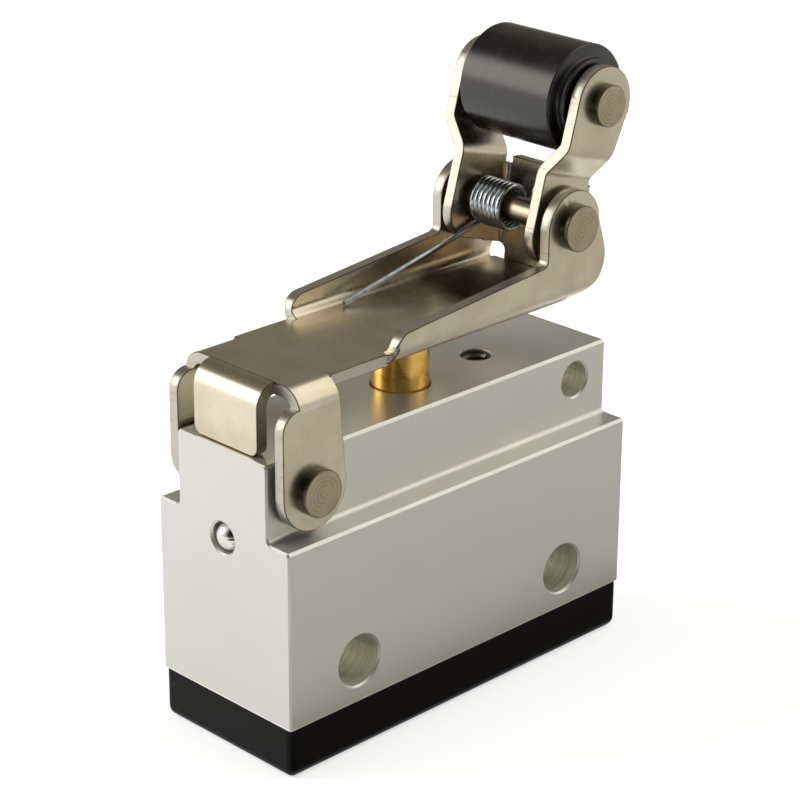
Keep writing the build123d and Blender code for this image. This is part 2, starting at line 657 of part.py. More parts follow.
def yoke_web():
    """The web at the back, folded into both arms, with the tab below that stops on the plate's end."""
    lean = math.radians(WEB_LEAN)
    foot = Plane(
        origin=(PLATE_END_X + WEB_GAP, 0, PLATE_UNDER_Z),
        x_dir=(math.cos(lean), 0, -math.sin(lean)), z_dir=(math.sin(lean), 0, math.cos(lean)))
    outside = WEB_BEND + SHEET
    half = [(-ARM_BACK, YOKE_INNER, 0), (-ARM_BACK, YOKE_OUTER, 0), (SHEET, YOKE_OUTER, outside)]
    other = [(across, -side, radius) for across, side, radius in reversed(half)]
    inside = [(0, -YOKE_INNER, WEB_BEND), (0, YOKE_INNER, WEB_BEND)]
    height = YOKE_Z + WEB_TOP - PLATE_UNDER_Z + STOP_DROP
    return extrude(foot.offset(-STOP_DROP) * rounded(half + other + inside), amount=height)


def yoke_corner_cuts():
    """What is cut from the folded corners: all below the arms' feet, and the part that nears the joggle."""
    far = 2 * ARM_LENGTH
    half_slope = math.atan2(YOKE_SPREAD, JOGGLE_RISE) / 2
    joggle_bend = JOGGLE_START - (SHEET + JOGGLE_FILLET) * math.tan(half_slope)
    fold = YOKE_OUTER - WEB_BEND - SHEET
    stop = YOKE_OUTER - STOP_INSET
    low = rounded([
        (stop, -far, 0), (far, -far, 0), (far, -ARM_FOOT, 0), (stop, -ARM_FOOT, STOP_FILLET),
    ])
    high = rounded([(fold, joggle_bend, 0), (far, joggle_bend, 0), (far, far, 0), (fold, far, 0)])
    return [both_sides(end_plate(cut, -far, far)) for cut in (low, high)]


def make_yoke():
    """The roller's yoke."""
    web = yoke_web()
    for cut in yoke_corner_cuts():
        web -= in_yoke(cut)
    yoke = web + in_yoke(yoke_arms())
    yoke -= through_rod(YOKE_X, YOKE_Z, YOKE_PIN_RADIUS + PIN_CLEARANCE)
    return yoke - through_rod(AXLE_X, AXLE_Z, AXLE_RADIUS + PRESS_GAP)


def make_torsion_spring():
    """The spring on the yoke's pin: a long leg on the lever's plate and a short one behind the web."""
    rise = YOKE_PIN_RISE - TORSION_WIRE / 2 - LAID_GAP
    to_tip = math.hypot(LONG_LEG_REACH, rise)
    slope = math.atan2(rise, LONG_LEG_REACH) - math.asin(TORSION_RADIUS / to_tip)
    start = math.radians(SHORT_LEG_LEAN)
    turned = 2 * math.pi * TORSION_FULL_TURNS + math.pi / 2 - slope - start
    height = TORSION_PITCH * turned / (2 * math.pi)
    far_y = YOKE_INNER - TORSION_SIDE_GAP - TORSION_WIRE / 2
    near_y = far_y - height
    path = Helix(TORSION_PITCH, height, TORSION_RADIUS)
    turns = sweep(Plane(origin=path @ 0, z_dir=path % 0) * Circle(TORSION_WIRE / 2), path)
    turns = Pos(YOKE_X, near_y, YOKE_Z) * Rot(-90, 0, 0) * Rot(0, 0, SHORT_LEG_LEAN) * turns
    near_x = YOKE_X + TORSION_RADIUS * math.cos(start)
    near_z = YOKE_Z - TORSION_RADIUS * math.sin(start)
    near_end_x = near_x + SHORT_LEG_LENGTH * math.sin(start)
    near_end_z = near_z + SHORT_LEG_LENGTH * math.cos(start)
    far = (YOKE_X + TORSION_RADIUS * math.sin(slope), far_y, YOKE_Z - TORSION_RADIUS * math.cos(slope))
    tip = (YOKE_X - LONG_LEG_REACH, far_y + LONG_LEG_SPREAD, YOKE_Z - rise)
    short_leg = wire_run((near_x, near_y, near_z), (near_end_x, near_y, near_end_z), TORSION_WIRE)
    return turns + short_leg + wire_run(far, tip, TORSION_WIRE)


MAKERS = {
    "valve_body": make_valve_body,
    "base_cover": make_base_cover,
    "base_gasket": make_base_gasket,
    "base_screws": make_base_screws,
    "passage_ball": make_passage_ball,
    "seat_insert": make_seat_insert,
    "seat_ring": make_seat_ring,
    "wiper_ring": make_wiper_ring,
    "plunger": make_plunger,
    "land_ring": make_land_ring,
    "return_spring": make_return_spring,
    "poppet": make_poppet,
    "poppet_disc": make_poppet_disc,
    "poppet_spring": make_poppet_spring,
    "lever": make_lever,
    "lever_pin": make_lever_pin,
    "yoke_pin": make_yoke_pin,
    "torsion_spring": make_torsion_spring,
    "yoke": make_yoke,
    "roller_axle": make_roller_axle,
    "roller": make_roller,
}

os.makedirs("parts", exist_ok=True)
for name, make in MAKERS.items():
    export_step(make(), f"parts/{name}.step")
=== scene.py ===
"""Looks of a one-way roller lever air valve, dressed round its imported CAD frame.

Everything is in metres in the frame's own axes: +X along the body away from the lever's pivot,
+Y from the plain front side to the side with the ports, +Z up towards the roller.
"""

import logging
import math
from dataclasses import dataclass, field
from enum import Enum

import bmesh
import bpy
from mathutils import Matrix, Vector
from mathutils.bvhtree import BVHTree

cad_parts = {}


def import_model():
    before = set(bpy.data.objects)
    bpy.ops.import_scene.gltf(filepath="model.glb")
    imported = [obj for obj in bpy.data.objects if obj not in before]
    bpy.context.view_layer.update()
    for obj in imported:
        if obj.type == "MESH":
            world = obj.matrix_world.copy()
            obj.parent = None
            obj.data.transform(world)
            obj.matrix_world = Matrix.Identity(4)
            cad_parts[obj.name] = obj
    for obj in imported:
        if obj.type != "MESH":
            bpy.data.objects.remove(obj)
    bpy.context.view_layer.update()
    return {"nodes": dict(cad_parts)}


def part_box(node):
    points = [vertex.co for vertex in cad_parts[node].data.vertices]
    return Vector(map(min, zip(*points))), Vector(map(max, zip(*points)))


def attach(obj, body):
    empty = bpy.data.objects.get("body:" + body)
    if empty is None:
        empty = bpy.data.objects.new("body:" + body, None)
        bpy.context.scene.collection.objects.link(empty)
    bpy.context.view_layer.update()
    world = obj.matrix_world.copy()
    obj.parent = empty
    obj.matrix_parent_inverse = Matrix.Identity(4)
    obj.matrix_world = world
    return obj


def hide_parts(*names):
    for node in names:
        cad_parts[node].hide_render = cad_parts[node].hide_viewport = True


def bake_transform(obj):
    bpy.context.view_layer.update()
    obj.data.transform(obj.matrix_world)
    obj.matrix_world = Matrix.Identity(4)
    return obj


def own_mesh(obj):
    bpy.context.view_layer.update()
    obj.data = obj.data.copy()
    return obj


LOG = logging.getLogger("valve_looks")
MM = 0.001
MERGE = 0.001 * MM
FLAT = math.radians(0.4)
SHARP = math.radians(30.0)
SQUARE = math.radians(60.0)
FULL_TURN = 2.0 * math.pi
ORIGIN = Vector((0.0, 0.0, 0.0))

Colour = tuple[float, float, float, float]
Range = tuple[float, float]
Ring = list[bmesh.types.BMVert]
WHITE: Colour = (1.0, 1.0, 1.0, 1.0)


class Slot(Enum):
    """The record's material slots."""

    BLOCK = "anodised_block"
    BASE = "black_base"
    RUBBER = "seal_rubber"
    ZINC = "zinc_steel"
    BALL = "ball_steel"
    BRASS = "turned_brass"
    SPRING = "spring_steel"
    SHEET = "plated_sheet"
    PIN = "pin_steel"
    ROLLER = "roller_plastic"


class Body(Enum):
    """The frame's bodies that pieces ride on."""

    ROOT = "root"
    LEVER = "lever"
    YOKE = "yoke"
    ROLLER = "roller"


class Axis(Enum):
    """A direction that a turned piece or a grain runs along."""

    X = (1.0, 0.0, 0.0)
    Y = (0.0, 1.0, 0.0)
    Z = (0.0, 0.0, 1.0)

    @property
    def vector(self) -> Vector:
        """The direction as a vector."""
        return Vector(self.value)


class Mark(Enum):
    """What a face of a folded sheet is, in the face attribute "cut"."""

    SKIN = 0.0
    CUT = 1.0
    RIM = 2.0


def add_object(name: str, data: bpy.types.ID) -> bpy.types.Object:
    """Makes an object of its data and links it to the scene."""
    made = bpy.data.objects.new(name, data)
    bpy.context.scene.collection.objects.link(made)
    return made


def add_mesh(name: str, mesh: bmesh.types.BMesh) -> bpy.types.Object:
    """Makes an object of a bmesh, which is used up."""
    data = bpy.data.meshes.new(name)
    mesh.to_mesh(data)
    mesh.free()
    return add_object(name, data)


class Value:
    """A shader value whose operators add Math nodes to its graph."""

    def __init__(self, graph: "Graph", socket: bpy.types.NodeSocket) -> None:
        """Wraps one output socket of a graph."""
        self.graph = graph
        self.socket = socket

    def math(self, operation: str, *others: "Value | float") -> "Value":
        """Adds a Math node with this value as its first operand."""
        operands = dict(enumerate([self, *others]))
        return self.graph.node("ShaderNodeMath", {"operation": operation}, operands)

    def __add__(self, other: "Value | float") -> "Value":
        """Sum."""
        return self.math("ADD", other)

    __radd__ = __add__

    def __mul__(self, other: "Value | float") -> "Value":
        """Product."""
        return self.math("MULTIPLY", other)

    def __sub__(self, other: "Value | float") -> "Value":
        """Difference."""
        return self.math("SUBTRACT", other)

    def __rsub__(self, other: float) -> "Value":
        """Difference from a plain number."""
        return self.graph.node("ShaderNodeMath", {"operation": "SUBTRACT"}, {0: other, 1: self})

    def ramp(self, low: float, high: float) -> "Value":
        """Rises smoothly from 0 at low to 1 at high."""
        settings = {"interpolation_type": "SMOOTHSTEP"}
        inputs = {"Value": self, "From Min": low, "From Max": high}
        return self.graph.node("ShaderNodeMapRange", settings, inputs)

    def swing(self, width: float) -> "Value":
        """Turns a value from 0 to 1 into one that swings over a width round 0."""
        return (self - 0.5) * width


class Graph:
    """The node tree of a material or of the world."""

    def __init__(self, tree: bpy.types.NodeTree) -> None:
        """Empties a node tree and keeps it."""
        self.tree = tree
        self.tree.nodes.clear()

    def node(self, kind: str, settings: dict, inputs: dict, output: int | str = 0) -> Value:
        """Adds one node.

        Args:
            kind: the node's type name.
            settings: its properties, set before its sockets.
            inputs: what its sockets get, by name or number: a Value to link, or a plain value.
            output: the socket to give back.

        Returns:
            The chosen output as a Value.
        """
        made = self.tree.nodes.new(kind)
        for name, setting in settings.items():
            setattr(made, name, setting)
        for name, given in inputs.items():
            if isinstance(given, Value):
                self.tree.links.new(given.socket, made.inputs[name])
            else:
                made.inputs[name].default_value = given
        return Value(self, made.outputs[output] if made.outputs else None)

    def place(self, centre: Vector, scale: Vector | float) -> Value:
        """Object coordinates in the frame, moved to a centre and scaled to a pattern's own lengths.

        Args:
            centre: the point that becomes the pattern's origin, in metres.
            scale: the length of one unit of the pattern, in metres, for all axes or for each.

        Returns:
            The coordinates as a vector value.
        """
        lengths = Vector((scale,) * 3) if isinstance(scale, float) else scale
        factors = Vector([1.0 / length for length in lengths])
        offset = Vector([-a * b for a, b in zip(centre, factors)])
        coordinates = self.node("ShaderNodeTexCoord", {}, {}, "Object")
        inputs = {"Vector": coordinates, "Location": offset, "Scale": factors}
        return self.node("ShaderNodeMapping", {}, inputs)

    def noise(
        self, scale: Vector | float, detail: float = 2.0, roughness: float = 0.5,
        centre: Vector = ORIGIN,
    ) -> Value:
        """Noise from 0 to 1 with its own length along each axis."""
        place = self.place(centre, scale)
        inputs = {"Vector": place, "Scale": 1.0, "Detail": detail, "Roughness": roughness}
        return self.node("ShaderNodeTexNoise", {}, inputs)

    def parts(self, vector: Value) -> list[Value]:
        """A vector's three parts."""
        split = self.node("ShaderNodeSeparateXYZ", {}, {"Vector": vector})
        return [Value(self, socket) for socket in split.socket.node.outputs]

    def mixed(self, factor: Value | float, first: "Value | Colour", second: "Value | Colour") -> Value:
        """A colour between two others."""
        return self.node("ShaderNodeMix", {"data_type": "RGBA"}, {0: factor, 6: first, 7: second}, 2)

    def bump(self, height: Value, depth: float, strength: float = 1.0) -> Value:
        """Turns a height from 0 to 1 into a normal, for a depth in metres."""
        inputs = {"Height": height, "Distance": depth, "Strength": strength}
        return self.node("ShaderNodeBump", {}, inputs)


def new_material(name: str) -> tuple[bpy.types.Material, Graph]:
    """An empty material and the graph of its nodes."""
    made = bpy.data.materials.new(name)
    made.use_nodes = True
    return made, Graph(made.node_tree)


@dataclass(frozen=True)
class Finish:
    """A finish: its slot in the record, its colour and its gloss."""

    slot: Slot
    colour: Colour
    roughness: float
    metallic: float = 1.0
    gloss: float = 0.5

    def material(self, name: str) -> bpy.types.Material:
        """Builds the finish as a material of a name."""
        made, graph = new_material(name)
        sockets = {
            "Metallic": self.metallic, "Base Color": self.colour, "Roughness": self.roughness,
            "Specular IOR Level": self.gloss, **self.surface(graph),
        }
        shader = graph.node("ShaderNodeBsdfPrincipled", {}, sockets)
        graph.node("ShaderNodeOutputMaterial", {}, {"Surface": shader})
        return made

    def surface(self, graph: Graph) -> dict:
        """What varies over the surface, as shader sockets by name."""
        raise NotImplementedError


@dataclass(frozen=True)
class AnodisedBlock(Finish):
    """Satin anodised aluminium: fine grain, faint extrusion lines, bored walls with drill marks and
    painted light, painted shade in the tapped hole on top, and worn patches along the lower edge that
    partly paint a highlight line.
    """

    slot: Slot = Slot.BLOCK
    colour: Colour = (0.655, 0.65, 0.61, 1.0)
    roughness: float = 0.34
    metallic: float = 0.76
    shade: Colour = (0.585, 0.585, 0.54, 1.0)
    grain: float = 0.09 * MM
    grain_depth: float = 0.0022 * MM
    line_gap: float = 0.16 * MM
    line_length: float = 9.0 * MM
    cloud: float = 5.0 * MM
    spot: float = 0.7 * MM
    spot_range: Range = (0.66, 0.76)
    bores: tuple[tuple[float, float, float], ...] = (
        (-11.7, 7.9, 2.2), (11.7, 7.9, 2.2), (15.3, 23.2, 1.58), (-15.3, 23.2, 1.58))
    # Painted light: the bored walls are painted much lighter than the block, for light that reaches
    # into the holes.
    bored_wall_painted_light: Colour = (1.0, 0.99, 0.87, 1.0)
    turn_gap: float = 0.07 * MM
    turn_length: float = 8.0 * MM
    turn_range: Range = (0.4, 0.62)
    turn_depth: float = 7.0
    tapped: Vector = Vector((8.7, 0.0, 27.2)) * MM
    tapped_reach: Vector = Vector((1.3, 1.3, 4.0)) * MM
    # Painted shade: the inside of the tapped hole on top is painted dark.
    tapped_hole_painted_shade: Colour = (0.22, 0.21, 0.17, 1.0)
    # Worn patches along the lower edge, painted lighter: partly wear, partly a painted highlight line.
    scuff_and_highlight_colour: Colour = (0.88, 0.87, 0.80, 1.0)
    scuff_and_highlight_level: float = 4.4 * MM
    scuff_and_highlight_height: float = 0.16 * MM
    scuff_and_highlight_lengths: Vector = Vector((1.3, 1.3, 0.5)) * MM

    def surface(self, graph: Graph) -> dict:
        """Grain, lines along X, clouds, a few rubbed spots, turned bores with painted light on their
        walls, painted shade in the tapped hole, and a lower edge with worn patches that partly paint a
        highlight line.
        """
        grain = graph.noise(self.grain, 3.0, 0.6)
        lines = graph.noise(Vector((self.line_length, self.line_gap, self.line_gap)), 3.0, 0.6)
        cloud = graph.noise(self.cloud)
        spots = graph.noise(self.spot, 4.0, 0.7).ramp(*self.spot_range)
        bored = self.bored(graph)
        turning = graph.noise(Vector((self.turn_length, self.turn_gap, self.turn_length)), 2.0, 0.6)
        tint = graph.mixed(cloud * 0.35 + lines * 0.3, self.colour, self.shade)
        # Worn patches along the lower edge, partly a painted highlight line.
        tint = graph.mixed(self.scuffed_and_highlit(graph), tint, self.scuff_and_highlight_colour)
        # Painted shade inside the tapped hole.
        tint = graph.mixed(self.in_tapped_hole(graph), tint, self.tapped_hole_painted_shade)
        # Painted light on the bored walls, broken up by the turning marks.
        wall_with_painted_light = graph.mixed(turning.ramp(*self.turn_range) * 0.7, self.bored_wall_painted_light, self.shade)
        height = grain * 0.7 + lines * 0.6 + bored * turning * self.turn_depth
        return {
            "Base Color": graph.mixed(bored, tint, wall_with_painted_light),
            "Roughness": self.roughness + grain.swing(0.12) + cloud.swing(0.1) - spots * 0.08,
            "Normal": graph.bump(height, self.grain_depth),
        }

    def bored(self, graph: Graph) -> Value:
        """1 on the walls of the cross holes and 0 elsewhere."""
        bored = 0.0
        for x, z, radius in self.bores:
            across, _, up = graph.parts(graph.place(Vector((x, 0.0, z)) * MM, radius * MM))
            bored = (across * across + up * up).math("LESS_THAN", 1.0) + bored
        return bored

    def in_tapped_hole(self, graph: Graph) -> Value:
        """1 inside the tapped hole on top and 0 elsewhere."""
        along, across, up = graph.parts(graph.place(self.tapped, self.tapped_reach))
        inside = (along * along + across * across).math("LESS_THAN", 1.0)
        return inside * up.math("ABSOLUTE").math("LESS_THAN", 1.0)

    def scuffed_and_highlit(self, graph: Graph) -> Value:
        """Nearly 1 in the patches of wear and painted highlight along the block's lower edge and 0
        elsewhere.
        """
        centre = Vector((0.0, 0.0, self.scuff_and_highlight_level))
        up = graph.parts(graph.place(centre, self.scuff_and_highlight_height))[2]
        wear = graph.noise(self.scuff_and_highlight_lengths, 4.0, 0.7, centre)
        return (up * 0.9 - wear * 1.6 + 0.9).ramp(0.9, 0.35)


@dataclass(frozen=True)
class BlackMoulding(Finish):
    """Black moulded plastic with a fine eroded texture and a few light specks."""

    slot: Slot = Slot.BASE
    colour: Colour = (0.0028, 0.0024, 0.002, 1.0)
    roughness: float = 0.42
    metallic: float = 0.0
    gloss: float = 0.1
    speck_colour: Colour = (0.09, 0.088, 0.082, 1.0)
    texture: float = 0.12 * MM
    texture_depth: float = 0.006 * MM
    flow: float = 4.0 * MM
    speck: float = 0.25 * MM
    speck_range: Range = (0.79, 0.84)

    def surface(self, graph: Graph) -> dict:
        """Eroded grain, flow clouds and dust specks."""
        grain = graph.noise(self.texture, 3.0, 0.6)
        flow = graph.noise(self.flow)
        specks = graph.noise(self.speck, 1.0).ramp(*self.speck_range)
        return {
            "Base Color": graph.mixed(specks, self.colour, self.speck_colour),
            "Roughness": self.roughness + flow.swing(0.16) + grain.swing(0.1),
            "Normal": graph.bump(grain, self.texture_depth, 0.6),
        }


@dataclass(frozen=True)
class PlainFinish(Finish):
    """A finish with an even grain and with clouds that change its gloss and its colour."""

    cloud_colour: Colour | None = None
    cloud_range: Range = (0.4, 0.7)
    cloud: float = 0.9 * MM
    cloud_gloss: float = 0.15
    grain: float = 0.07 * MM
    grain_depth: float = 0.0021 * MM
    grain_gloss: float = 0.06

    def surface(self, graph: Graph) -> dict:
        """Grain and clouds."""
        grain = graph.noise(self.grain)
        cloud = graph.noise(self.cloud, 3.0)
        clouded = self.cloud_colour or self.colour
        return {
            "Base Color": graph.mixed(cloud.ramp(*self.cloud_range), self.colour, clouded),
            "Roughness": self.roughness + cloud.swing(self.cloud_gloss) + grain.swing(self.grain_gloss),
            "Normal": graph.bump(grain, self.grain_depth),
        }


BALL_STEEL = PlainFinish(Slot.BALL, (0.66, 0.65, 0.62, 1.0), 0.14)
ZINC_STEEL = PlainFinish(Slot.ZINC, (0.66, 0.65, 0.62, 1.0), 0.28)
SEAL_RUBBER = PlainFinish(
    Slot.RUBBER, (0.018, 0.018, 0.018, 1.0), 0.55, metallic=0.0, cloud=1.5 * MM, cloud_gloss=0.2,
    grain=0.08 * MM, grain_depth=0.004 * MM, grain_gloss=0.0)
PLATED_WIRE = PlainFinish(
    Slot.SPRING, (0.60, 0.66, 0.70, 1.0), 0.2, cloud_colour=(0.40, 0.45, 0.49, 1.0), cloud=0.6 * MM,
    cloud_gloss=0.0, grain=0.06 * MM, grain_depth=0.0024 * MM, grain_gloss=0.2)


@dataclass(frozen=True)
class PlatedSheet(Finish):
    """Nickel plated pressed steel: warm, satin, with a rippled skin, scratches, shaded cuts, a painted
    dark reflection line on the rounded edges and painted shade in the hollow under the yoke.
    """

    slot: Slot = Slot.SHEET
    colour: Colour = (0.65, 0.585, 0.475, 1.0)
    roughness: float = 0.28
    stain: Colour = (0.56, 0.495, 0.39, 1.0)
    ripple: float = 0.35 * MM
    ripple_depth: float = 0.0025 * MM
    grain: float = 0.05 * MM
    cloud: float = 3.5 * MM
    scratch_length: float = 3.0 * MM
    scratch_gap: float = 0.06 * MM
    cut_colour: Colour = (0.48, 0.455, 0.40, 1.0)
    cut_roughness: float = 0.33
    cut_metallic: float = 0.95
    torn_colour: Colour = (0.27, 0.23, 0.17, 1.0)
    # Painted reflection: the rounded outer edges are painted dark, for the dark room that they mirror.
    rim_painted_reflection_colour: Colour = (0.10, 0.08, 0.05, 1.0)
    # Painted shade: the hollow of the lever under the yoke is painted dark, for the shade and dark
    # reflections under the yoke.
    hollow: Vector = Vector((9.4, 0.0, 32.0)) * MM
    hollow_reach: Vector = Vector((4.4, 6.5, 3.4)) * MM
    hollow_painted_shade_colour: Colour = (0.10, 0.072, 0.032, 1.0)
    shear_gap: float = 0.16 * MM
    shear_length: float = 2.0 * MM
    stain_range: Range = (0.35, 0.7)
    scratch_range: Range = (0.66, 0.85)
    torn_range: Range = (0.58, 0.72)
    rim_range: Range = (1.2, 1.8)

    def surface(self, graph: Graph) -> dict:
        """Ripples of the skin, clouds in the plating, fine scratches, shear marks on cut edges, a
        painted dark line on the rounded edges and painted shade in the hollow under the yoke.
        """
        mark = graph.node("ShaderNodeAttribute", {"attribute_name": "cut"}, {}, "Fac")
        cut = mark.math("MINIMUM", Mark.CUT.value)
        rim = mark.ramp(*self.rim_range)
        ripple = graph.noise(self.ripple)
        grain = graph.noise(self.grain)
        cloud = graph.noise(self.cloud, 3.0, 0.6)
        lengths = Vector((self.scratch_length, self.scratch_gap, self.scratch_gap))
        scratches = graph.noise(lengths).ramp(*self.scratch_range)
        shear = graph.noise(Vector((self.shear_gap, self.shear_length, self.shear_gap)), 3.0, 0.6)
        torn = cut * shear.ramp(*self.torn_range)
        skin = graph.mixed(cloud.ramp(*self.stain_range), self.colour, self.stain)
        # Painted shade in the hollow under the yoke.
        skin = graph.mixed(self.in_hollow(graph) * 0.85, skin, self.hollow_painted_shade_colour)
        edge = graph.mixed(torn * 0.8, self.cut_colour, self.torn_colour)
        # Painted dark reflection line on the rounded edges.
        edge = graph.mixed(rim * (0.5 + cloud * 0.9), edge, self.rim_painted_reflection_colour)
        smooth = self.roughness + cloud.swing(0.12) + scratches * 0.04 + grain.swing(0.08)
        height = ripple + grain * 0.12 - scratches * 0.06 - cut * (shear * 3.0)
        return {
            "Base Color": graph.mixed(cut, skin, edge),
            "Roughness": smooth + cut * (self.cut_roughness - self.roughness),
            "Metallic": 1.0 - cut * (1.0 - self.cut_metallic),
            "Normal": graph.bump(height, self.ripple_depth),
        }

    def in_hollow(self, graph: Graph) -> Value:
        """1 in the hollow of the lever under the yoke, where shade is painted, falling to 0 round it.
        """
        along, across, up = graph.parts(graph.place(self.hollow, self.hollow_reach))
        return (along * along + across * across + up * up).ramp(1.0, 0.3)


@dataclass(frozen=True)
class TurnedSteel(Finish):
    """Turned and plated steel with fine rings round an axis along Y, and painted dark shade on the
    sides of its heads.
    """

    slot: Slot = Slot.PIN
    colour: Colour = (0.42, 0.345, 0.25, 1.0)
    roughness: float = 0.26
    centre: Vector = ORIGIN
    ring_gap: float = 0.35 * MM
    ring_depth: float = 0.004 * MM
    grain: float = 0.09 * MM
    worn: float = 1.1 * MM
    worn_range: Range = (0.35, 0.7)
    head_radius: float = 1.0 * MM
    # Painted shade: the sides of the heads are painted near black.
    head_side_painted_shade_colour: Colour = (0.10, 0.08, 0.055, 1.0)
    ring_colour: Colour = (0.22, 0.185, 0.135, 1.0)

    def surface(self, graph: Graph) -> dict:
        """Rings round the axis, with a grain that breaks them up, and painted shade on the heads'
        sides.
        """
        across, _, up = graph.parts(graph.place(self.centre, self.ring_gap))
        radius = (across * across + up * up).math("POWER", 0.5)
        grain = graph.noise(self.grain, 3.0, centre=self.centre)
        rings = (radius * FULL_TURN + grain * 4.0).math("SINE") * 0.5 + 0.5
        worn = graph.noise(self.worn, 3.0, centre=self.centre).ramp(*self.worn_range)
        face = graph.mixed(rings * worn * 0.45, self.colour, self.ring_colour)
        rim = self.head_radius / self.ring_gap
        # Painted shade on the sides of the heads, found by their radius.
        side = (radius + grain.swing(0.3)).ramp(rim - 0.35, rim - 0.02)
        return {
            "Base Color": graph.mixed(side, face, self.head_side_painted_shade_colour),
            "Roughness": self.roughness + grain.swing(0.2) + rings * 0.05,
            "Normal": graph.bump(rings * 0.8 + grain * 0.5, self.ring_depth, 0.8),
        }


@dataclass(frozen=True)
class TurnedBrass(Finish):
    """Bright brass turned round the valve's axis, with fine tool marks."""

    slot: Slot = Slot.BRASS
    colour: Colour = (0.88, 0.565, 0.145, 1.0)
    roughness: float = 0.24
    tarnish: Colour = (0.62, 0.36, 0.085, 1.0)
    mark: float = 0.07 * MM
    mark_length: float = 3.0 * MM
    mark_depth: float = 0.003 * MM
    cloud: float = 1.4 * MM
    tarnish_range: Range = (0.42, 0.75)

    def surface(self, graph: Graph) -> dict:
        """Tool marks round the axis and clouds of tarnish."""
        marks = graph.noise(Vector((self.mark_length, self.mark_length, self.mark)), 3.0, 0.6)
        cloud = graph.noise(self.cloud, 4.0, 0.65)
        return {
            "Base Color": graph.mixed(cloud.ramp(*self.tarnish_range), self.colour, self.tarnish),
            "Roughness": self.roughness + cloud.swing(0.22) + marks.swing(0.14),
            "Normal": graph.bump(marks, self.mark_depth),
        }


@dataclass(frozen=True)
class RollerPlastic(Finish):
    """Charcoal plastic turned round the roller's axle, with fine scratches round the tread."""

    slot: Slot = Slot.ROLLER
    colour: Colour = (0.003, 0.0024, 0.0016, 1.0)
    roughness: float = 0.25
    metallic: float = 0.0
    gloss: float = 0.65
    rubbed: Colour = (0.020, 0.016, 0.011, 1.0)
    centre: Vector = ORIGIN
    mark: float = 0.05 * MM
    mark_length: float = 2.4 * MM
    mark_depth: float = 0.006 * MM
    cloud: float = 2.2 * MM
    rubbed_range: Range = (0.4, 0.8)

    def surface(self, graph: Graph) -> dict:
        """Tool marks round the tread, clouds of rubbing and dust."""
        lengths = Vector((self.mark_length, self.mark, self.mark_length))
        marks = graph.noise(lengths, 3.0, 0.65, self.centre)
        cloud = graph.noise(self.cloud, 4.0, 0.65, self.centre)
        grain = graph.noise(self.mark, centre=self.centre)
        return {
            "Base Color": graph.mixed(cloud.ramp(*self.rubbed_range) * marks, self.colour, self.rubbed),
            "Roughness": self.roughness + marks.swing(0.25) + cloud.swing(0.12),
            "Normal": graph.bump(marks + grain * 0.4, self.mark_depth),
        }


@dataclass(frozen=True)
class Span:
    """The box of a CAD node."""

    low: Vector
    high: Vector

    @classmethod
    def of(cls, node: str) -> "Span":
        """The box of a node by its name."""
        return cls(*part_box(node))

    @property
    def centre(self) -> Vector:
        """The box's middle."""
        return (self.low + self.high) / 2

    @property
    def size(self) -> Vector:
        """The box's sides."""
        return self.high - self.low


